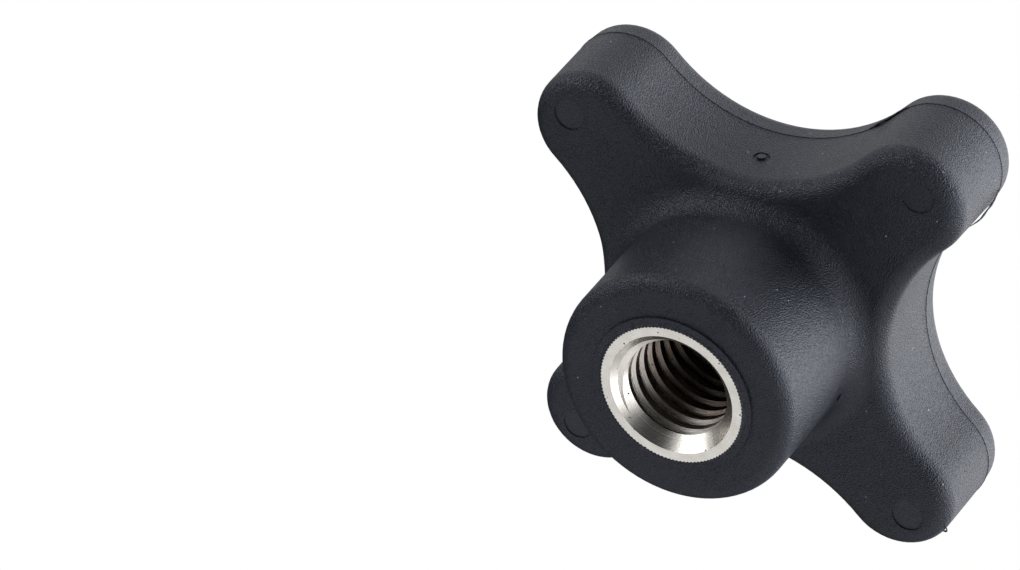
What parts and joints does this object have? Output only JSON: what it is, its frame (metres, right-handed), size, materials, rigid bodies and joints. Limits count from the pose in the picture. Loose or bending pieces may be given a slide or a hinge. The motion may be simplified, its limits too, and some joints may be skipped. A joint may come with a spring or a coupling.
{
  "type": "wing nut",
  "caption": "Arm-shaped clamping knob nut in moulded plastic: flat cross head over a round hub with a threaded metal insert in a blind hole.",
  "frame": {"origin": "centre of the threaded insert's mouth face, the lowest face of the part", "axes": "+Z along the thread axis, from the mouth up through the hub to the head; +X and +Y each run along an arm"},
  "size_m": [0.06, 0.06, 0.028],
  "materials": {
    "moulding": "satin",
    "insert_metal": "satin"
  },
  "bodies": {
    "root": {"knob_body": "moulding", "threaded_insert": "insert_metal"}
  },
  "joints": []
}
